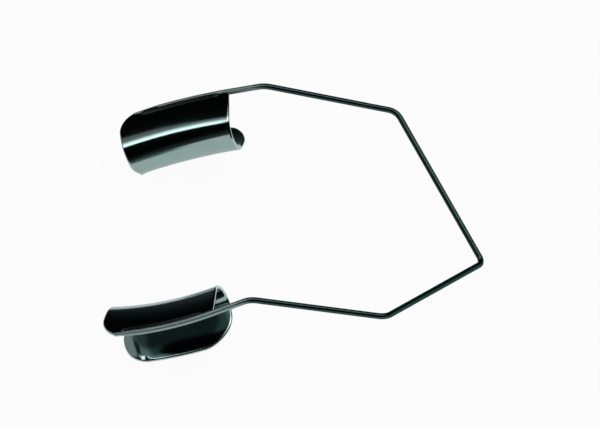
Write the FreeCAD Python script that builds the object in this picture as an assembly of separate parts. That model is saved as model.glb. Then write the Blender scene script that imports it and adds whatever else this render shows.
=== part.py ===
# Self-retaining eyelid retractor: one bent spring wire with a solid gutter blade brazed along each end.
import FreeCAD, Part
import math
import os
from FreeCAD import Placement, Rotation, Vector

# Driving dimensions in mm and degrees. X runs from the blades to the apex, Y from the lower-lid side to the
# upper-lid side with the mirror plane at 0, and Z up from the table. The knee is at X = 0.
wire_dia = 0.70  # hard-drawn spring wire
tip_dia = 0.46  # the wire is ground down to this at the tip of the blade
apex_x = 25.95  # corner of the apex bend, which lies on the table
shoulder_x = 15.4  # corner where the sloping leg turns into the arm
shoulder_half_gap = 15.95
shoulder_height = 8.69
knee_flare = 0.65  # the arms spread this much further by the corner where they turn down into the stubs
knee_height = 11.94
apex_bend_radius = 1.0  # on the centreline, like the next two
shoulder_bend_radius = 1.9
knee_bend_radius = 2.6

# Where the wire flexes, as a share of its leg and of its arm, and the hair of room at each of those cuts.
leg_flex_share = 0.45
arm_flex_share = 0.40
flex_gap = 0.01

# The blade is a sheet pressed to a gutter and bowed round the eye, so that its back is a saddle.
sheet = 0.42
blade_length = 14.95  # at its longest, measured as all lengths along the blade are, on the wire's line
root_reach = 7.25  # the root's part of it, from the middle section
bow_reach = 6.75  # the wire is bowed from this far before the middle section, and straight before that
bow_radius = 42.0  # of the wire along the blade
bow_lift = 15.0  # the bow's centre lies inward of the wire and this much upward
# Gutter section from the wire to the free edge: arcs that meet in tangent, by outer radius and turn.
flange_radius = 13.2
back_radius = 2.85
heel_radius = 1.5
floor_radius = 10.0
lip_radius = 1.5  # the free edge of the floor curls back up
flange_turn = 16.0
back_turn = 96.0
heel_turn = 44.0
floor_turn = 24.0
lip_turn = 22.0
end_round = 18.0  # both ends are rounded to a ball, so that the blade is longest at its back
end_inboard = 4.9  # place of that longest line in the middle section, from the wire's centre
end_down = 3.0
wire_corner_radius = 2.4  # rounded corner of the sheet at the tip, on the wire edge
floor_corner_radius = 3.4  # and both corners on the free edge
corner_inset = 0.3  # the corners are rounded from this far inside the ends

# How the blade is set on its wire.
stub_length = 4.55  # from the knee's corner to where the wire is bowed
blade_pitch = 20.28  # the tip points down
blade_toe = 1.5  # the tip points towards the eye
blade_roll = 2.5  # the open side of the gutter turns down

wire_end_gap = 2.35  # the wire stops this short of the blade's tip
taper_length = 3.2  # of the ground end of the wire
braze_gap = 0.10  # between the wire and the sheet's edge, filled by the braze
seam_reach = 0.65  # how far the braze runs over both faces of the sheet
seam_climb = 60.0  # how far round the wire it climbs, from the sheet, in degrees
seam_end_gap = 1.4  # the braze stops this short of the blade's root

SIDES = ("upper", "lower")
wire_radius = wire_dia / 2
gutter = [
    (flange_radius, flange_turn),
    (back_radius, back_turn),
    (heel_radius, heel_turn),
    (floor_radius, floor_turn),
    (lip_radius, lip_turn),
]


def unit(v):
    return Vector(v) / v.Length


def turn_for(length):
    """Degrees about the bow's centre that a length along the wire takes."""
    return math.degrees(length / bow_radius)


root_turn = turn_for(root_reach)
tip_turn = turn_for(blade_length - root_reach)
bow_turn = turn_for(bow_reach)


def rod_path(corners, radii):
    """Straight runs joined by tangent arcs: the corners between the ends get the bend radii in turn."""
    edges = []
    start = corners[0]
    for before, corner, after, radius in zip(corners, corners[1:], corners[2:], radii):
        back = unit(before - corner)
        ahead = unit(after - corner)
        half_angle = back.getAngle(ahead) / 2
        setback = radius / math.tan(half_angle)
        middle = corner + unit(back + ahead) * (radius / math.sin(half_angle) - radius)
        edges.append(Part.LineSegment(start, corner + back * setback).toShape())
        edges.append(Part.Arc(corner + back * setback, middle, corner + ahead * setback).toShape())
        start = corner + ahead * setback
    edges.append(Part.LineSegment(start, corners[-1]).toShape())
    return edges


def ring(centre, direction, radius):
    return Part.Wire(Part.makeCircle(radius, centre, direction))


def rod(edges, start, direction):
    """Round rod of the wire's size along a path."""
    return Part.Wire(edges).makePipeShell([ring(start, direction, wire_radius)], True, True)


class Gutter:
    """A blade with its stretch of wire in the blade's own frame: x to the knee, y away from the eye, z up.

    The origin is the wire's centre at mid-length, and turns about the bow's axis are positive towards the tip.
    """

    def __init__(self):
        lift = math.radians(bow_lift)
        self.centre = Vector(0, -math.cos(lift), math.sin(lift)) * bow_radius
        self.axis = Vector(0, math.sin(lift), math.cos(lift))
        self.sheet_edge = wire_radius + braze_gap
        self.taper_ends = (tip_turn - turn_for(wire_end_gap + taper_length), tip_turn - turn_for(wire_end_gap))

    def at(self, inboard, down):
        """Point of the middle section, from its distance inboard of the wire's centre and below it."""
        return Vector(0, -inboard, -down)

    def carry(self, point, turn):
        return self.centre + Rotation(self.axis, turn).multVec(point - self.centre)

    def carry_shape(self, shape, turn):
        moved = shape.copy()
        moved.rotate(self.centre, self.axis, turn)
        return moved

    def bow(self, face, start, end):
        """Solid that a face of the middle section sweeps as it turns about the bow's axis."""
        return self.carry_shape(face, start).revolve(self.centre, self.axis, end - start)

    def wire_at(self, turn):
        return self.carry(self.at(0, 0), turn)

    def heading_at(self, turn):
        return Rotation(self.axis, turn).multVec(Vector(1, 0, 0))

    def arc(self, centre, radius, start, end):
        """Arc of the section about a centre, between two headings of its tangent in degrees."""
        def point(heading):
            a = math.radians(heading)
            return self.at(centre[0] + radius * math.sin(a), centre[1] - radius * math.cos(a))
        return Part.Arc(point(start), point((start + end) / 2), point(end)).toShape()

    def section(self):
        """Gutter profile: outer and inner arcs about the same centres, with a round free edge."""
        outer, inner = [], []
        place, heading = (0.0, -sheet / 2), 0.0
        for radius, turn in gutter:
            a, b = math.radians(heading), math.radians(heading + turn)
            centre = (place[0] - radius * math.sin(a), place[1] + radius * math.cos(a))
            place = (centre[0] + radius * math.sin(b), centre[1] - radius * math.cos(b))
            outer.append(self.arc(centre, radius, heading, heading + turn))
            inner.append(self.arc(centre, radius - sheet, heading, heading + turn))
            heading += turn
        last = math.radians(heading)
        ahead = self.at(math.cos(last), math.sin(last)) * (sheet / 2)
        rim_out, rim_in = outer[-1].Vertexes[-1].Point, inner[-1].Vertexes[-1].Point
        rim = Part.Arc(rim_out, (rim_out + rim_in) / 2 + ahead, rim_in).toShape()
        start = Part.makeLine(outer[0].Vertexes[0].Point, inner[0].Vertexes[0].Point)
        profile = Part.Face(Part.Wire(Part.__sortEdges__(outer + inner + [rim, start])))
        return profile.cut(self.band(-self.sheet_edge, self.sheet_edge, -sheet, sheet))

    def band(self, inboard_from, inboard_to, down_from, down_to):
        """Rectangle in the middle section."""
        corners = [(inboard_from, down_from), (inboard_to, down_from), (inboard_to, down_to), (inboard_from, down_to)]
        return Part.Face(Part.makePolygon([self.at(*c) for c in corners + corners[:1]]))

    def corner_cutter(self, radius, inboard, down_from, down_to, turn):
        """What lies outside a rounded corner of the sheet at one end, for an edge that far inboard."""
        to_tip = turn > 0
        over = 2 * sheet
        depth = down_to - down_from
        x_from = -over if to_tip else -radius
        corner = Vector(x_from, -inboard - radius, -down_to)
        block = Part.makeBox(radius + over, radius + over, depth, corner)
        pivot = Vector(radius if to_tip else -radius, -inboard - radius, -down_to)
        return self.carry_shape(block.cut(Part.makeCylinder(radius, depth, pivot)), turn)

    def end_ball(self, turn):
        """Ball that touches the plane of one end from inside, at the longest line of the blade."""
        to_tip = turn > 0
        touch = self.carry(self.at(end_inboard, end_down), turn)
        centre = touch + self.heading_at(turn) * (end_round if to_tip else -end_round)
        ball = Part.makeSphere(end_round, centre)
        ball.rotate(centre, Vector(0, 0, 1), 0 if to_tip else 180)
        return ball

    def blade(self):
        """The pressed sheet with its rounded ends and corners."""
        face = self.section()
        solid = self.bow(face, -root_turn, tip_turn).common(self.end_ball(tip_turn)).common(self.end_ball(-root_turn))
        height = face.BoundBox.ZLength
        floor_edge = min(-v.Y for v in face.Vertexes if v.Z < -height / 2)
        tip_corner = tip_turn - turn_for(corner_inset)
        root_corner = turn_for(corner_inset) - root_turn
        cutters = [
            self.corner_cutter(wire_corner_radius, self.sheet_edge, -height / 2, height / 2, tip_corner),
            self.corner_cutter(floor_corner_radius, floor_edge, height / 2, 2 * height, tip_corner),
            self.corner_cutter(floor_corner_radius, floor_edge, height / 2, 2 * height, root_corner),
        ]
        return solid.cut(cutters)

    def seam(self):
        """Braze between the wire and the sheet's edge, run out in a wedge over both faces of the sheet."""
        climb = math.radians(seam_climb)
        on_wire = (wire_radius * math.cos(climb), wire_radius * math.sin(climb))
        foot = self.sheet_edge + seam_reach
        middle = flange_radius - sheet / 2
        outer_foot = middle - math.sqrt(flange_radius**2 - foot**2)
        inner_foot = middle - math.sqrt((flange_radius - sheet) ** 2 - foot**2)
        corners = [on_wire, (foot, inner_foot), (foot, outer_foot), (on_wire[0], -on_wire[1]), on_wire]
        face = Part.Face(Part.makePolygon([self.at(*c) for c in corners]))
        wire_face = Part.Face(Part.Wire(Part.makeCircle(wire_radius, self.at(0, 0), Vector(1, 0, 0))))
        face = face.cut(wire_face).cut(self.section())
        end = tip_turn - turn_for(corner_inset + wire_corner_radius)
        return self.bow(face, turn_for(seam_end_gap) - root_turn, end)


class Side:
    """Everything on one side of the mirror plane, drawn on the positive side of it."""

    def __init__(self, name):
        self.mirrored = name == "lower"
        self.gutter = Gutter()
        self.apex = Vector(apex_x, 0, wire_radius)
        self.shoulder = Vector(shoulder_x, shoulder_half_gap, shoulder_height)
        self.knee = Vector(0, shoulder_half_gap + knee_flare, knee_height)
        self.leg_cut = self.apex + (self.shoulder - self.apex) * leg_flex_share
        self.arm_cut = self.shoulder + (self.knee - self.shoulder) * arm_flex_share
        spin = (
            Rotation(Vector(0, 0, 1), blade_toe)
            * Rotation(Vector(0, 1, 0), -blade_pitch)
            * Rotation(Vector(1, 0, 0), -blade_roll)
        )
        root = self.gutter.wire_at(-bow_turn)
        own_knee = root + self.gutter.heading_at(-bow_turn) * stub_length
        self.place = Placement(self.knee - spin.multVec(own_knee), spin)

    def placed(self, shape):
        moved = shape.copy()
        moved.transformShape(self.place.toMatrix())
        return moved

    def finished(self, shape):
        return shape.mirror(Vector(0, 0, 0), Vector(0, 1, 0)) if self.mirrored else shape

    def leg(self):
        """Rest of the sloping leg, the shoulder bend and the start of the arm."""
        up_leg = unit(self.shoulder - self.apex)
        up_arm = unit(self.knee - self.shoulder)
        start = self.leg_cut + up_leg * (flex_gap / 2)
        end = self.arm_cut - up_arm * (flex_gap / 2)
        return rod(rod_path([start, self.shoulder, end], [shoulder_bend_radius]), start, up_leg)

    def arm(self):
        """The arm, the knee bend, the stub and the stretch that the blade is brazed to."""
        up_arm = unit(self.knee - self.shoulder)
        start = self.arm_cut + up_arm * (flex_gap / 2)
        taper_turn, end_turn = self.gutter.taper_ends
        turns = (-bow_turn, (taper_turn - bow_turn) / 2, taper_turn, end_turn)
        root, middle, taper_start, end = (self.place.multVec(self.gutter.wire_at(t)) for t in turns)
        path = rod_path([start, self.knee, root], [knee_bend_radius])
        path.append(Part.Arc(root, middle, taper_start).toShape())
        along, ahead = (self.place.Rotation.multVec(self.gutter.heading_at(t)) for t in self.gutter.taper_ends)
        taper = Part.makeLoft([ring(taper_start, along, wire_radius), ring(end, ahead, tip_dia / 2)], True, True)
        nose = Part.makeSphere(tip_dia / 2, end, -ahead, 0, 90)
        return rod(path, start, up_arm).fuse([taper, nose]).removeSplitter()


def apex_wire():
    """The apex bend with the first stretch of both legs."""
    upper = Side("upper")
    along = unit(upper.shoulder - upper.apex)
    start = upper.leg_cut - along * (flex_gap / 2)
    end = Vector(start.x, -start.y, start.z)
    return rod(rod_path([start, upper.apex, end], [apex_bend_radius]), start, along)


nodes = {"apex_wire": apex_wire()}
sides = {name: Side(name) for name in SIDES}
for name, side in sides.items():
    nodes[f"{name}_leg_wire"] = side.finished(side.leg())
    nodes[f"{name}_arm_wire"] = side.finished(side.arm())
    nodes[f"{name}_blade"] = side.finished(side.placed(side.gutter.blade()))
    nodes[f"{name}_braze_seam"] = side.finished(side.placed(side.gutter.seam()))

# The origin goes under the middle of the whole instrument, on the table.
boxes = [shape.optimalBoundingBox(False) for shape in nodes.values()]
low = [min(getattr(b, f"{a}Min") for b in boxes) for a in "XYZ"]
high = [max(getattr(b, f"{a}Max") for b in boxes) for a in "XYZ"]
shift = Vector(-(low[0] + high[0]) / 2, -(low[1] + high[1]) / 2, -low[2])
os.makedirs("parts", exist_ok=True)
for name, shape in nodes.items():
    shape.translate(shift)
    shape.exportStep(f"parts/{name}.step")


def flex_axis(cut, along, blade_middle):
    """Axis across the wire that swings the blade level, turning it towards the eye."""
    level = (blade_middle - cut).cross(Vector(0, 0, 1))
    axis = unit(along.cross(level))
    return axis if axis.cross(blade_middle - cut).y < 0 else -axis


print("size", [round(h - l, 3) for h, l in zip(high, low)], "shift", shift)
for name, side in sides.items():
    flip = -1 if side.mirrored else 1
    blade_middle = side.place.multVec(side.gutter.at(2, 3))
    mouth = side.place.Rotation.multVec(Vector(0, 1, 0))
    gutter_middle = Vector(blade_middle.x, flip * blade_middle.y, blade_middle.z) + shift
    print(name, "gutter at", gutter_middle, "mouth", Vector(mouth.x, flip * mouth.y, mouth.z))
    along_leg = unit(side.shoulder - side.apex)
    along_arm = unit(side.knee - side.shoulder)
    for joint, cut, along in (("leg", side.leg_cut, along_leg), ("arm", side.arm_cut, along_arm)):
        axis = flex_axis(cut, along, blade_middle)
        hinge = cut + unit(axis.cross(along)) * wire_radius
        hinge = Vector(hinge.x, flip * hinge.y, hinge.z) + shift
        axis = Vector(axis.x * flip, axis.y, axis.z * flip)
        print(name, joint, "hinge at", hinge, "axis", axis)
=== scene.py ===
import math

import bpy
import numpy as np
from mathutils import Matrix, Vector


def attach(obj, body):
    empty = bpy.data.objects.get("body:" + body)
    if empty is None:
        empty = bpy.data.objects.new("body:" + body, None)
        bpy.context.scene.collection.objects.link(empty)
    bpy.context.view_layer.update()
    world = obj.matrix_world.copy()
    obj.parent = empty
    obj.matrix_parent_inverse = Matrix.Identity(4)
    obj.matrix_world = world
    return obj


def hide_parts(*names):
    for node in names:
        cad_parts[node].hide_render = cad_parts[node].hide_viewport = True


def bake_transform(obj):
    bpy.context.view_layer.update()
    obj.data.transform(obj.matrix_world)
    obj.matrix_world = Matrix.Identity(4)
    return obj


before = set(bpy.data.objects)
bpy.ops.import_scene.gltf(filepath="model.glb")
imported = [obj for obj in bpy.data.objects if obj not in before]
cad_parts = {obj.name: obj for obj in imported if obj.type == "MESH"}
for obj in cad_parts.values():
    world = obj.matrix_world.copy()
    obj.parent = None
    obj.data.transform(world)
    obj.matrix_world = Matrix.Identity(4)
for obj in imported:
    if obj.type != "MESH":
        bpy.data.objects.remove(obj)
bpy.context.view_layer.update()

# ---- Apex bend -------------------------------------------------------------------------------------------------
# The tight bend that joins the two spring legs and lies on the table. It is the middle of the one hard-drawn
# stainless wire of the instrument, bent cold round a pin, and polished so little that it is still dark.

MM = 0.001  # the sizes are in millimetres
ON_TABLE = np.array([-4.603548, 0.0, -0.187914])  # from the zero of the sizes, at the knees, to the shared frame
SIDES = (("upper", 1.0), ("lower", -1.0))
WIRE = 0.35  # radius
APEX = np.array([25.95, 0.0, WIRE])
SHOULDER = np.array([15.4, 15.95, 8.69])
KNEE = np.array([0.0, 16.6, 11.94])
APEX_BEND, SHOULDER_BEND, KNEE_BEND = 1.0, 1.9, 2.6  # radii
STUB = 4.55  # from the knee to where the wire begins to follow the blade
BOW, BOW_LIFT = 42.0, math.radians(15.0)  # radius of the bow along the blade, and the slant of its axis
BOW_REACH, TIP_REACH = 6.75, 7.70  # from the blade's middle to the start of the bow and to the blade's tip
WIRE_SHORT = 2.35  # the wire ends this far before the blade's tip
PITCH, TOE, ROLL = 20.28, 1.5, 2.5  # degrees that the blade is set at
HALF_APEX_STEPS, BEND_STEPS, BOW_STEPS, RUN_STEP, AROUND = 24, 33, 61, 0.25, 40
HAIR = 1e-6
FAR = 1000.0  # a length past the end of the wire


def spun(axis, degrees):
    """Rotation matrix about an axis: the axis' own part stays, the rest turns by the cosine and the cross product."""
    x, y, z = np.asarray(axis, float) / np.linalg.norm(axis)
    c, s = math.cos(math.radians(degrees)), math.sin(math.radians(degrees))
    across = np.array([[0, -z, y], [z, 0, -x], [-y, x, 0]])
    along = np.outer((x, y, z), (x, y, z))
    return c * np.eye(3) + (1 - c) * along + s * across


SET = spun((0, 0, 1), TOE) @ spun((0, 1, 0), -PITCH) @ spun((1, 0, 0), -ROLL)
BOW_CENTRE = np.array([0, -math.cos(BOW_LIFT), math.sin(BOW_LIFT)]) * BOW
BOW_AXIS = np.array([0, math.sin(BOW_LIFT), math.cos(BOW_LIFT)])


def bowed(points, along):
    """Points of the blade's middle section carried along the bow: each turns about the bow's axis by the length
    along the wire divided by the bow's radius."""
    turn = (np.asarray(along, float) / BOW)[..., None]
    arm = points - BOW_CENTRE
    level = np.sum(arm * BOW_AXIS, axis=-1, keepdims=True) * BOW_AXIS
    return BOW_CENTRE + level + (arm - level) * np.cos(turn) + np.cross(BOW_AXIS, arm) * np.sin(turn)


def heading(along):
    """Direction of the wire at a length along the bow, towards the knee: the blade's own first axis, turned about
    the bow's axis by that length divided by the bow's radius."""
    turn = along / BOW
    return np.array([math.cos(turn), 0.0, 0.0]) + np.cross(BOW_AXIS, (1.0, 0.0, 0.0)) * math.sin(turn)


ROOT = bowed(np.zeros(3), -BOW_REACH)
SET_AT = KNEE - SET @ (ROOT + heading(-BOW_REACH) * STUB)


def corner(before, at, after, radius, steps):
    """Arc that rounds a corner: its centre lies on the bisector, at the radius over the sine of half the angle, and
    its points swing about that centre from square on the first run to square on the second."""
    back, ahead = before - at, after - at
    back, ahead = back / np.linalg.norm(back), ahead / np.linalg.norm(ahead)
    half = math.acos(float(back @ ahead)) / 2
    bisector = (back + ahead) / np.linalg.norm(back + ahead)
    centre = at + bisector * radius / math.sin(half)
    tangent = (ahead - back) / np.linalg.norm(ahead - back)
    swing = np.linspace(half - math.pi / 2, math.pi / 2 - half, steps)[:, None]
    return centre + radius * (tangent * np.sin(swing) - bisector * np.cos(swing))


def run(start, end):
    """Points on a straight run, an even step apart."""
    share = np.linspace(0, 1, max(2, int(np.linalg.norm(end - start) / RUN_STEP)))[1:-1, None]
    return start + (end - start) * share


def wire_line(hand):
    """The wire's centreline from the mirror plane at the apex to the tip of the blade: straight runs, the three
    bends of this side, the stub, and the bowed stretch that carries the blade. Also its length at each point."""
    root = ROOT @ SET.T + SET_AT
    other_shoulder = SHOULDER * (1, -1, 1)
    apex = corner(other_shoulder, APEX, SHOULDER, APEX_BEND, 2 * HALF_APEX_STEPS + 1)[HALF_APEX_STEPS:]
    shoulder = corner(APEX, SHOULDER, KNEE, SHOULDER_BEND, BEND_STEPS)
    knee = corner(SHOULDER, KNEE, root, KNEE_BEND, BEND_STEPS)
    bow = bowed(np.zeros(3), np.linspace(-BOW_REACH, TIP_REACH - WIRE_SHORT, BOW_STEPS)) @ SET.T + SET_AT
    parts = [apex, run(apex[-1], shoulder[0]), shoulder, run(shoulder[-1], knee[0]), knee, run(knee[-1], root), bow]
    line = np.concatenate(parts) * (1.0, hand, 1.0)
    length = np.concatenate([[0.0], np.cumsum(np.linalg.norm(np.diff(line, axis=0), axis=1))])
    return line, length


def tube(line, length, start, end, radius):
    """A round profile carried along part of the line: each point is the centreline's plus the radius times the
    cosine of its angle to the side and the sine upward, both square to the line. The radius comes as two lists,
    lengths and radii, and both ends are closed. The grain is the place round the wire and the length along it."""
    inside = (length > start + HAIR) & (length < end - HAIR)
    at = np.concatenate([[start], length[inside], [end]])
    slope = np.gradient(line, length, axis=0)
    centre, ahead = (np.stack([np.interp(at, length, v[:, k]) for k in range(3)], -1) for v in (line, slope))
    ahead /= np.linalg.norm(ahead, axis=1, keepdims=True)
    side = np.cross((0.0, 0.0, 1.0), ahead)
    side /= np.linalg.norm(side, axis=1, keepdims=True)
    top = np.cross(ahead, side)
    angle = np.linspace(0, 2 * math.pi, AROUND, endpoint=False)
    wide = np.interp(at, *radius)[:, None, None]
    spoke = side[:, None] * np.cos(angle)[None, :, None] + top[:, None] * np.sin(angle)[None, :, None]
    points = centre[:, None] + spoke * wide
    grain = np.stack(np.broadcast_arrays(WIRE * np.cos(angle), WIRE * np.sin(angle), at[:, None]), -1)
    index = np.arange(points.shape[0] * AROUND).reshape(-1, AROUND)
    after = np.roll(index, -1, axis=1)
    quads = np.stack([index[:-1], after[:-1], after[1:], index[1:]], -1).reshape(-1, 4)
    caps = [index[0, ::-1].tolist(), index[-1].tolist()]
    return points, quads, caps, grain


def put(name, points, quads, caps, grain, finish):
    """A mesh in metres in the shared frame, smooth but for its flat end caps, with its grain as an attribute."""
    mesh = bpy.data.meshes.new(name)
    mesh.from_pydata(((points.reshape(-1, 3) + ON_TABLE) * MM).tolist(), [], quads.tolist() + caps)
    mesh.polygons.foreach_set("use_smooth", [True] * len(quads) + [False] * len(caps))
    mesh.attributes.new("grain", "FLOAT_VECTOR", "POINT").data.foreach_set("vector", grain.ravel().astype(np.float32))
    mesh.materials.append(finish)
    mesh.update()
    piece = bpy.data.objects.new(name, mesh)
    bpy.context.scene.collection.objects.link(piece)
    return piece


class Strand:
    """One socket of a finish, for sums: an operator between strands, or with a plain number, adds its Math node."""

    def __init__(self, finish, socket):
        self.finish, self.socket = finish, socket

    def __add__(self, other):
        return self.finish.sum("ADD", self, other)

    def __sub__(self, other):
        return self.finish.sum("SUBTRACT", self, other)

    def __rsub__(self, other):
        return self.finish.sum("SUBTRACT", other, self)

    def __mul__(self, other):
        return self.finish.sum("MULTIPLY", self, other)

    __radd__, __rmul__ = __add__, __mul__


class Finish:
    """The node tree of one finish, on a material or on the world."""

    def __init__(self, owner):
        owner.use_nodes = True
        self.owner, self.tree = owner, owner.node_tree
        self.tree.nodes.clear()

    def add(self, kind, settings, sockets, output=0):
        """A node of a type, with its settings made first and then the values or strands of its sockets."""
        node = self.tree.nodes.new(kind)
        for key, value in settings.items():
            if key == "stops":
                for extra, (place, colour) in enumerate(value):
                    stop = node.color_ramp.elements[extra] if extra < 2 else node.color_ramp.elements.new(place)
                    stop.position, stop.color = place, colour
            else:
                setattr(node, key, value)
        for key, value in sockets.items():
            if isinstance(value, Strand):
                self.tree.links.new(value.socket, node.inputs[key])
            else:
                node.inputs[key].default_value = value
        return Strand(self, node.outputs[output]) if node.outputs else None

    def sum(self, operation, *terms):
        """One Math node."""
        return self.add("ShaderNodeMath", {"operation": operation}, dict(enumerate(terms)))

    def noise(self, where, scale, detail=2.0, stretch=(1.0, 1.0, 1.0)):
        """Soft noise from 0 to 1 at a place that is stretched first."""
        pulled = self.add("ShaderNodeVectorMath", {"operation": "MULTIPLY"}, {0: where, 1: stretch})
        return self.add("ShaderNodeTexNoise", {}, {"Vector": pulled, "Scale": scale, "Detail": detail})

    def between(self, share, low, high):
        """Colour between two colours."""
        return self.add("ShaderNodeMix", {"data_type": "RGBA"}, {0: share, 6: low, 7: high}, 2)

    def band(self, value, low, high):
        """0 below one value and 1 above another, with a soft step between."""
        return self.add("ShaderNodeMapRange", {"interpolation_type": "SMOOTHSTEP"},
                        {"Value": value, "From Min": low, "From Max": high})


DRAWN = (0.030, 0.062, 0.058, 1), (0.048, 0.090, 0.084, 1)
RUBBED = (0.28, 0.38, 0.365, 1), (0.34, 0.44, 0.425, 1)
DRAWN_TINT = (0.30, 0.40, 0.39, 1)  # at a glancing angle
RUBBED_FADE = 2.5
LINES_DEPTH = 0.000006  # metres


def drawn_steel(name, rubbed_from):
    """Hard-drawn wire, dark from its heat and only lightly polished: die lines run along it, and a few tiny nicks
    show. From a length along the wire on it was rubbed bright with the braze, and is softer."""
    steel = Finish(bpy.data.materials.new(name))
    grain = steel.add("ShaderNodeAttribute", {"attribute_name": "grain"}, {}, "Vector")
    along = steel.add("ShaderNodeSeparateXYZ", {}, {"Vector": grain}, "Z")
    rubbed = steel.band(along, rubbed_from, rubbed_from + RUBBED_FADE)
    lines = steel.noise(grain, 9.0, 3.0, (1.0, 1.0, 0.03))
    cloud = steel.noise(grain, 0.9, 2.0, (1.0, 1.0, 0.6))
    nicks = steel.band(steel.noise(grain, 6.0, 1.0, (1.0, 1.0, 0.7)), 0.72, 0.80)
    height = lines * 0.5 - nicks * 0.6
    bump = steel.add("ShaderNodeBump", {}, {"Height": height, "Strength": 0.12, "Distance": LINES_DEPTH})
    shade = steel.between(rubbed, steel.between(cloud, *DRAWN), steel.between(cloud, *RUBBED))
    rough = lines * 0.05 + cloud * 0.08 + nicks * 0.10 + rubbed * 0.20 + 0.22
    shader = steel.add("ShaderNodeBsdfPrincipled", {}, {
        "Base Color": shade, "Metallic": 1.0, "Roughness": rough, "Specular Tint": DRAWN_TINT, "Normal": bump,
    })
    steel.add("ShaderNodeOutputMaterial", {}, {"Surface": shader})
    return steel.owner


BEND_REACH = 2.6  # how far up each leg the apex piece goes
wire_finish = drawn_steel("drawn_steel", FAR)
wires = {side: wire_line(hand) for side, hand in SIDES}
full_round = ([0.0, FAR], [WIRE, WIRE])
(up_line, up_length), (low_line, _) = wires["upper"], wires["lower"]
middle_line = np.concatenate([low_line[:0:-1], up_line])
middle_length = np.concatenate([-up_length[:0:-1], up_length])
apex_bend = put("apex_bend", *tube(middle_line, middle_length, -BEND_REACH, BEND_REACH, full_round), wire_finish)
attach(apex_bend, "apex")
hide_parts("apex_wire")

# ---- Spring legs -----------------------------------------------------------------------------------------------
# The two sloping legs and their shoulder bends, the same wire. They are the spring: each bends along its whole
# length when the blades are squeezed together.

SHOULDER_END = 24.6  # length along the wire where the leg piece ends, on the arm just past the shoulder


for side in wires:
    leg = put(f"{side}_spring_leg", *tube(*wires[side], BEND_REACH, SHOULDER_END, full_round), wire_finish)
    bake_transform(leg)
    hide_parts(f"{side}_leg_wire")

# ---- Arms ------------------------------------------------------------------------------------------------------
# The level arms, the knees, the stubs and the stretch of wire along each blade, rubbed bright near the blade. The
# end of the wire is ground to a slim taper with a round nose, and fades into the blade's flange.

TAPER, TIP, NOSE_STEPS = 3.2, 0.23, 9  # length of the taper, and radius of the nose
BRIGHT_BEFORE = 5.0  # the wire is bright from this far before the bow
bow_starts = up_length[-1] - (BOW_REACH + TIP_REACH - WIRE_SHORT)
rubbed_finish = drawn_steel("drawn_steel_rubbed", bow_starts - BRIGHT_BEFORE)
for side, (line, length) in wires.items():
    end = length[-1] + TIP
    line = np.concatenate([line, line[-1:] + (line[-1:] - line[-2:-1]) * TIP / (length[-1] - length[-2])])
    length = np.append(length, end)
    nose = TIP * np.sin(np.linspace(0, math.pi / 2, NOSE_STEPS))
    at = np.concatenate([[0.0, end - TIP - TAPER], end - TIP + nose])
    wide = np.concatenate([[WIRE, WIRE], np.sqrt(np.maximum(TIP**2 - nose**2, HAIR))])
    dense = np.unique(np.concatenate([length, at[2:]]))
    line = np.stack([np.interp(dense, length, line[:, k]) for k in range(3)], -1)
    arm = put(f"{side}_spring_arm", *tube(line, dense, SHOULDER_END, end, (at, wide)), rubbed_finish)
    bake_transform(arm)
    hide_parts(f"{side}_arm_wire")

# ---- Blades ----------------------------------------------------------------------------------------------------
# Two gutters of thin stainless sheet that the lid edges sit in. Each is pressed to its section, bowed to follow the
# eye so that its back is a saddle, cut with rounded corners, and polished until its edge is smooth.

SHEET = 0.42
ARCS = np.array([(12.99, 16.0), (2.64, 96.0), (1.29, 50.0), (12.7, 16.0), (-2.0, -22.0)])  # radius and turn of the
# flange, the back, the heel, the floor and the lip
TRIM = -0.26  # the sheet's edge lies in the wire, just past its centre
ROOT_REACH = 7.25  # from the blade's middle to its root
ROOT_END, TIP_END = ROOT_REACH + 0.15, TIP_REACH - 0.06  # the planes that the ends are cut back from
END_ROUND = 18.0  # each end is cut to a ball
LONGEST = ((4.4, 2.4), (3.6, 1.6))  # where each end reaches furthest, inboard and down from the wire
TIP_WIRE_CORNER, TIP_FREE_CORNER, ROOT_FREE_CORNER = 2.4, 3.4, 3.4  # radii
HEEL_AT, HEEL_WIDE, HEEL_CUT = 8.6, 1.1, 0.45  # the tip's end is eased where it passes the heel
ROLL_REACH, ROLL_DROP = 2.2, 0.30  # the floor's rim rolls down
FLOOR_FROM, FLOOR_OVER, FLOOR_ALONG = 125.0, 40.0, 4.0  # degrees and length over which that sets in
ACROSS_STEP, ALONG_STEP, EDGE_STEPS = 0.11, 0.125, 9
END_BAND = 0.4  # this near an end, the rows keep an even distance from it


def gutter(across):
    """Middle of the sheet in the gutter's section, at a length from the wire along arcs that meet in tangent: on an
    arc of radius r from heading a to b it moves inboard by r(sin b - sin a) and down by r(cos a - cos b).
    Gives the inboard and downward distances and the heading."""
    radius, turn = ARCS[:, 0], np.radians(ARCS[:, 1])
    first = np.concatenate([[0.0], np.cumsum(radius * turn)])
    head = np.concatenate([[0.0], np.cumsum(turn)])
    inboard = np.concatenate([[0.0], np.cumsum(radius * (np.sin(head[1:]) - np.sin(head[:-1])))])
    down = np.concatenate([[0.0], np.cumsum(radius * (np.cos(head[:-1]) - np.cos(head[1:])))])
    k = np.clip(np.searchsorted(first, across, "right") - 1, 0, len(radius) - 1)
    a = head[k] + (across - first[k]) / radius[k]
    return (inboard[k] + radius[k] * (np.sin(a) - np.sin(head[k])),
            down[k] + radius[k] * (np.cos(head[k]) - np.cos(a)), a)


WIDE = float(np.sum(np.radians(ARCS[:, 1]) * ARCS[:, 0])) + SHEET / 2


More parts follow.
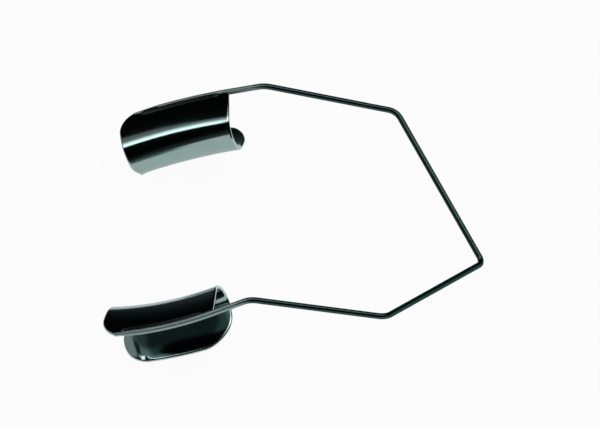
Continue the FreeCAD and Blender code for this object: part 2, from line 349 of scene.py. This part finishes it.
def packed(length, step):
    """Places from 0 to a length, even but for the last half sheet at each end, where they crowd as on a round edge:
    half a sheet times one minus the cosine."""
    edge = SHEET / 2 * (1 - np.cos(np.linspace(0, math.pi / 2, EDGE_STEPS)))
    inner = np.linspace(SHEET / 2, length - SHEET / 2, int(length / step))
    return np.concatenate([edge[:-1], inner, length - edge[-2::-1]])


def rounding(away, radius):
    """How far a rounded corner cuts in, at a distance from the edge that it ends on: the radius less the height of
    the circle there."""
    left = np.clip(radius - away, 0, radius)
    return radius - np.sqrt(radius**2 - left**2)


def upright(inboard, down):
    """Point of the section at the blade's middle, in the blade's own frame."""
    return np.stack([np.zeros_like(inboard), -inboard, -down], -1)


def on_sheet(along, across, out):
    """Point of the blade in its own frame: the section's point, a distance out along the sheet's normal, carried
    along the bow."""
    inboard, down, a = gutter(across)
    return bowed(upright(inboard + out * np.sin(a), down - out * np.cos(a)), along)


def placed(points, hand):
    """Points of the blade's own frame put on the instrument, and mirrored for the lower side."""
    return (points @ SET.T + SET_AT) * (1.0, hand, 1.0)


def blade_shell(hand):
    """The whole blade: two parameters, along and across, fill its rounded outline, and its outer and inner faces lie
    half a sheet out and in, drawing together at the rim in a half circle of the distance to the outline. An end
    falls back from its plane by R - sqrt(R^2 - d^2), with d the distance to the blade's longest line, and by a bell
    curve at the heel. The floor rolls down by the square of its nearness to the rim. The grain is the place along
    and across, and the distance to the rim, which is negative on the inner face."""
    across = TRIM + packed(WIDE - TRIM, ACROSS_STEP)
    inboard, down, _ = gutter(across)
    arm = upright(inboard, down) - BOW_CENTRE
    reach = np.linalg.norm(arm - np.sum(arm * BOW_AXIS, axis=-1, keepdims=True) * BOW_AXIS, axis=-1) / BOW
    falls = [END_ROUND - np.sqrt(END_ROUND**2 - (inboard - a) ** 2 - (down - b) ** 2) for a, b in LONGEST]
    falls[1] = falls[1] + HEEL_CUT * np.exp(-(((across - HEEL_AT) / HEEL_WIDE) ** 2))
    from_wire, from_free = across - TRIM, WIDE - across
    share = packed(ROOT_END + TIP_END, ALONG_STEP)[:, None]
    ends, corners = [], []
    for plane, fall, rounded in ((ROOT_END, falls[0], [(from_free, ROOT_FREE_CORNER)]),
                                 (TIP_END, falls[1], [(from_wire, TIP_WIRE_CORNER), (from_free, TIP_FREE_CORNER)])):
        end = plane * reach - fall
        corner_of = []
        for away, radius in rounded:
            pivot = np.interp(radius, *((away, end) if away[0] < away[-1] else (away[::-1], end[::-1]))) - radius
            end = np.where(away < radius, np.minimum(end, pivot + radius - rounding(away, radius)), end)
            corner_of.append((pivot, away, radius))
        ends.append(end)
        corners.append(corner_of)
    ease = np.clip((share - END_BAND) / (share[-1] - 2 * END_BAND), 0, 1)
    x = (share - ends[0]) * (1 - ease) + (ends[1] - (share[-1] - share)) * ease
    rim = np.minimum(from_wire, from_free) + 0 * x
    for way, plane, fall, corner_of in zip((-1, 1), (ROOT_END, TIP_END), falls, corners):
        rim = np.minimum(rim, (plane * reach - fall - way * x) / np.hypot(1, np.gradient(fall, across)))
        for pivot, away, radius in corner_of:
            past = way * x - pivot
            inside = (past > 0) & (away < radius)
            rim = np.where(inside, np.minimum(rim, radius - np.hypot(past, radius - away)), rim)
    left = 1 - np.clip(rim / (SHEET / 2), 0, 1)
    thick = SHEET / 2 * np.sqrt(1 - left**2)
    along, across = x / reach, across + 0 * x
    turned = np.degrees(gutter(across)[2])
    floor = np.clip((turned - FLOOR_FROM) / FLOOR_OVER, 0, 1) * np.clip(x / FLOOR_ALONG, 0, 1) ** 2
    roll = ROLL_DROP * np.clip(1 - rim / ROLL_REACH, 0, 1) ** 2 * floor
    outer, inner = on_sheet(along, across, thick + roll), on_sheet(along, across, roll - thick)
    rows, columns = x.shape
    first = np.arange(rows * columns).reshape(rows, columns)
    second = first.copy()
    second[1:-1, 1:-1] = rows * columns + np.arange((rows - 2) * (columns - 2)).reshape(rows - 2, columns - 2)
    middle = (outer + inner) / 2
    outer[[0, -1]], outer[:, [0, -1]] = middle[[0, -1]], middle[:, [0, -1]]
    points = np.concatenate([outer.reshape(-1, 3), inner[1:-1, 1:-1].reshape(-1, 3)])
    flat = np.stack([x, across, rim], -1)
    grain = np.concatenate([flat.reshape(-1, 3), (flat * (1, 1, -1))[1:-1, 1:-1].reshape(-1, 3)])

    def quads(index, flipped):
        ring = [index[:-1, :-1], index[1:, :-1], index[1:, 1:], index[:-1, 1:]]
        return np.stack(ring[::-1] if flipped else ring, -1).reshape(-1, 4)

    faces = np.concatenate([quads(first, hand < 0), quads(second, hand > 0)])
    return placed(points, hand), faces, [], grain


POLISHED = (0.235, 0.345, 0.330, 1), (0.285, 0.390, 0.375, 1)
# Painted shade: the darker colour given to the gutter's inner, hollow face away from its rim, standing in for the
# shade inside it.
HOLLOW_SHADE_PAINTED = (0.055, 0.090, 0.086, 1), (0.080, 0.120, 0.115, 1)
BURNISHED = (0.38, 0.49, 0.475, 1)
EDGE_BRIGHT, PAINTED_SHADE_BAND = (0.05, 0.30), (1.0, 2.1)  # distances from the rim: the burnished edge, and the band over which the painted shade of the inner face sets in
BUFFING_DEPTH = 0.000008  # metres
ALONG_BLADE = (0.10, 1.0, 0.2)  # stretches a pattern along the blade


def pressed_steel():
    """Polished pressed sheet: faint buffing lines along the blade, a soft unevenness, hairline scratches, and an edge
    that is burnished brighter. The inner, hollow face is painted darker away from its rim, as painted shade for the
    recess."""
    steel = Finish(bpy.data.materials.new("pressed_steel"))
    grain = steel.add("ShaderNodeAttribute", {"attribute_name": "grain"}, {}, "Vector")
    depth = steel.add("ShaderNodeSeparateXYZ", {}, {"Vector": grain}, "Z")
    edge = 1 - steel.band(steel.sum("ABSOLUTE", depth), *EDGE_BRIGHT)
    # Mask of the painted shade: 0 near the rim, rising to 1 on the inner face beyond 2.1 mm from it.
    hollow = steel.band(depth * -1.0, *PAINTED_SHADE_BAND)
    buffing = steel.noise(grain, 3.2, 3.0, ALONG_BLADE)
    cloud = steel.noise(grain, 0.45)
    scratch = steel.band(steel.noise(grain, 7.0, 2.0, ALONG_BLADE), 0.68, 0.76)
    height = buffing * 0.5 + cloud * 0.8 - scratch * 0.3
    bump = steel.add("ShaderNodeBump", {}, {"Height": height, "Strength": 0.12, "Distance": BUFFING_DEPTH})
    # The inner face takes the painted shade colour, and the rim band stays at the polished colour.
    faces = steel.between(hollow, steel.between(cloud, *POLISHED), steel.between(cloud, *HOLLOW_SHADE_PAINTED))
    rough = buffing * 0.04 + cloud * 0.03 + scratch * 0.05 + 0.06
    shader = steel.add("ShaderNodeBsdfPrincipled", {}, {
        "Base Color": steel.between(edge, faces, BURNISHED), "Metallic": 1.0, "Roughness": rough, "Normal": bump,
    })
    steel.add("ShaderNodeOutputMaterial", {}, {"Surface": shader})
    return steel.owner


blade_finish = pressed_steel()
for side, hand in SIDES:
    blade = put(f"{side}_gutter_blade", *blade_shell(hand), blade_finish)
    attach(blade, f"{side}_arm")
    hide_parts(f"{side}_blade")

# ---- Braze seams -----------------------------------------------------------------------------------------------
# The bright braze that joins each blade's edge to its wire. It has run into a hollow fillet on both faces of the
# sheet and was polished down with them, so that it runs out to nothing at both ends.

SEAM_FROM, SEAM_TO = 1.4 - ROOT_REACH, TIP_REACH - 2.7
CLIMB, SPREAD = math.radians(80.0), 0.60  # how far up the wire and out along the sheet the fillet runs
RUN_OUT, THINNEST = 1.2, 0.08  # length over which it thins at each end, and the share that is left there
SUNK_IN_WIRE, SUNK_IN_SHEET = 0.01, 0.05
HOLLOW_OUT, HOLLOW_UP = 0.12, 0.08  # where its middle is pulled to, out from the wire and off the sheet
SEAM_ROWS, FILLET_STEPS, FILLET_GRAIN = 90, 13, 0.06


def seam_shell(hand):
    """A closed strip round the joint: each hollow face is a quadratic curve from a point on the wire, its middle
    pulled towards where the wire meets the sheet, to the sheet's face. It thins at both ends as a sine of the
    distance from the end. The grain is the place along it and across it."""
    x = np.linspace(SEAM_FROM, SEAM_TO, SEAM_ROWS)[:, None]
    t = np.linspace(0, 1, FILLET_STEPS)[None, :]
    from_end = np.clip(np.minimum(x - SEAM_FROM, SEAM_TO - x) / RUN_OUT, 0, 1)
    full = np.sin(from_end * math.pi / 2) * (1 - THINNEST) + THINNEST
    foot, climb = WIRE + SPREAD * full, CLIMB * full
    _, sag, _ = gutter(foot)

    def face(sign):
        start = (WIRE * np.cos(climb) - SUNK_IN_WIRE, -sign * (WIRE * np.sin(climb) - SUNK_IN_WIRE))
        pull = (WIRE + HOLLOW_OUT * full, sag - sign * (SHEET / 2 + HOLLOW_UP * full))
        stop = (foot, sag - sign * (SHEET / 2 - SUNK_IN_SHEET))
        return upright(*[(1 - t) ** 2 * p + 2 * t * (1 - t) * q + t**2 * r for p, q, r in zip(start, pull, stop)])

    loop = np.concatenate([face(1.0), face(-1.0)[:, ::-1]], axis=1)
    points = bowed(loop, np.broadcast_to(x, loop.shape[:2]))
    index = np.arange(points.shape[0] * points.shape[1]).reshape(points.shape[:2])
    after = np.roll(index, -1, axis=1)
    ring = [index[:-1], index[1:], after[1:], after[:-1]]
    quads = np.stack(ring if hand > 0 else ring[::-1], -1).reshape(-1, 4)
    way = 1 if hand > 0 else -1
    ends = [index[0, ::way].tolist(), index[-1, ::-way].tolist()]
    grain = np.stack(np.broadcast_arrays(x, np.arange(points.shape[1])[None, :] * FILLET_GRAIN, 0.0), -1)
    return placed(points, hand), quads, ends, grain


SILVERY = (0.27, 0.36, 0.345, 1), (0.32, 0.41, 0.395, 1)
RIPPLE_DEPTH = 0.000006  # metres


def braze_metal():
    """Silvery braze, a little warmer and duller than the steel, with the ripple it set with."""
    braze = Finish(bpy.data.materials.new("braze_metal"))
    grain = braze.add("ShaderNodeAttribute", {"attribute_name": "grain"}, {}, "Vector")
    ripple = braze.noise(grain, 0.9, 2.0, (1.0, 0.5, 1.0))
    grit = braze.noise(grain, 5.0, 2.0, (0.5, 1.0, 1.0))
    bump = braze.add("ShaderNodeBump", {}, {"Height": ripple + grit * 0.1, "Strength": 0.1, "Distance": RIPPLE_DEPTH})
    shade = braze.between(ripple, *SILVERY)
    rough = ripple * 0.05 + grit * 0.03 + 0.10
    shader = braze.add("ShaderNodeBsdfPrincipled", {}, {
        "Base Color": shade, "Metallic": 1.0, "Roughness": rough, "Normal": bump,
    })
    braze.add("ShaderNodeOutputMaterial", {}, {"Surface": shader})
    return braze.owner


braze_finish = braze_metal()
for side, hand in SIDES:
    seam = put(f"{side}_seam", *seam_shell(hand), braze_finish)
    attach(seam, f"{side}_arm")
    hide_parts(f"{side}_braze_seam")

# ---- Table -----------------------------------------------------------------------------------------------------
# A plain white table. It shows as even white to the camera and in the metal, and its matt share keeps a faint
# shadow.

TABLE = 1.5  # half its width, in metres
PAPER_WHITE, GLOW_SHARE = (0.88, 0.88, 0.88, 1), 0.95
top = bpy.data.meshes.new("table")
top.from_pydata([(x * TABLE, y * TABLE, 0) for x, y in ((-1, -1), (1, -1), (1, 1), (-1, 1))], [], [(0, 1, 2, 3)])
table = bpy.data.objects.new("table", top)
bpy.context.scene.collection.objects.link(table)
paper = Finish(bpy.data.materials.new("paper"))
seen, mirrored, through = (paper.add("ShaderNodeLightPath", {}, {}, f"Is {ray} Ray")
                           for ray in ("Camera", "Glossy", "Transmission"))
matt = paper.add("ShaderNodeBsdfDiffuse", {}, {"Color": PAPER_WHITE})
glow = paper.add("ShaderNodeEmission", {}, {"Color": (1, 1, 1, 1), "Strength": 1.0})
surface = paper.add("ShaderNodeMixShader", {}, {0: (seen + mirrored + through) * GLOW_SHARE, 1: matt, 2: glow})
paper.add("ShaderNodeOutputMaterial", {}, {"Surface": surface})
top.materials.append(paper.owner)

# ---- Light and camera ------------------------------------------------------------------------------------------
# A dim studio whose walls darken upwards, with one long soft lamp overhead and a pale card at the side, and a
# camera far off at the photograph's angle.

WALLS = [
    (0.0, (0.12, 0.13, 0.13, 1)), (0.14, (0.045, 0.050, 0.050, 1)), (0.32, (0.009, 0.011, 0.011, 1)),
    (0.44, (0.002, 0.003, 0.003, 1)),
]  # by the sine of the elevation
world = bpy.data.worlds.new("studio")
bpy.context.scene.world = world
room = Finish(world)
direction = room.add("ShaderNodeTexCoord", {}, {}, "Generated")
height = room.add("ShaderNodeSeparateXYZ", {}, {"Vector": direction}, "Z")
walls = room.add("ShaderNodeValToRGB", {"stops": WALLS}, {"Fac": height})
dim = room.add("ShaderNodeBackground", {}, {"Color": walls, "Strength": 1.0})
room.add("ShaderNodeOutputWorld", {}, {"Surface": dim})


def soft_lamp(name, long, wide, level):
    """An area lamp: its power is the brightness of its face, times pi, times its area."""
    lamp = bpy.data.lights.new(name, "AREA")
    lamp.shape, lamp.size, lamp.size_y = "RECTANGLE", long, wide
    lamp.energy = level * math.pi * long * wide
    holder = bpy.data.objects.new(name, lamp)
    bpy.context.scene.collection.objects.link(holder)
    return holder


LAMP_LONG, LAMP_X, LAMP_HIGH, LAMP_TURN = 1.10, -0.05, 0.50, math.radians(8.0)  # metres, as all of the studio
LAMP_STARTS = -0.06
STRIPS = (("lamp", 0.13, 2.9), ("lamp_edge", 0.06, 1.6), ("lamp_rim", 0.06, 0.7), ("lamp_fade", 0.08, 0.3))
done = LAMP_STARTS
for name, wide, level in STRIPS:
    strip = soft_lamp(name, LAMP_LONG, wide, level)
    middle = done + wide / 2
    strip.location = (LAMP_X - middle * math.sin(LAMP_TURN), middle * math.cos(LAMP_TURN), LAMP_HIGH)
    strip.rotation_euler = (0, 0, LAMP_TURN)
    done += wide

CARD_LONG, CARD_WIDE, CARD_LEVEL, CARD_AT = 0.24, 0.20, 0.45, Vector((-0.55, 0.15, 0.30))
card = soft_lamp("side_card", CARD_LONG, CARD_WIDE, CARD_LEVEL)
card.location = CARD_AT
card.rotation_euler = CARD_AT.to_track_quat("Z", "Y").to_euler()

DISTANCE, RIGHT, UP = 812.175, -4.683, -5.36  # of the zero of the sizes, from the camera and off its middle
TILT, SWING, LEAN = math.radians(47.966), math.radians(4.036), math.radians(-1.795)
SENSOR, LENS, CLIP = 36.0, 419.0, (0.05, 10.0)
view = np.array([-math.sin(SWING) * math.cos(TILT), math.cos(SWING) * math.cos(TILT), -math.sin(TILT)])
level_right = np.array([math.cos(SWING), math.sin(SWING), 0.0])
level_up = np.cross(level_right, view)
right = math.cos(LEAN) * level_right + math.sin(LEAN) * level_up
up = math.cos(LEAN) * level_up - math.sin(LEAN) * level_right
eye = (-DISTANCE * view - RIGHT * right - UP * up + ON_TABLE) * MM
camera = bpy.data.cameras.new("camera")
camera.sensor_width, camera.lens = SENSOR, LENS
camera.clip_start, camera.clip_end = CLIP
stand = bpy.data.objects.new("camera", camera)
stand.matrix_world = Matrix([*np.stack([right, up, -view, eye], 1).tolist(), (0, 0, 0, 1)])
bpy.context.scene.collection.objects.link(stand)
bpy.context.scene.camera = stand
bpy.context.scene.view_settings.view_transform = "Standard"
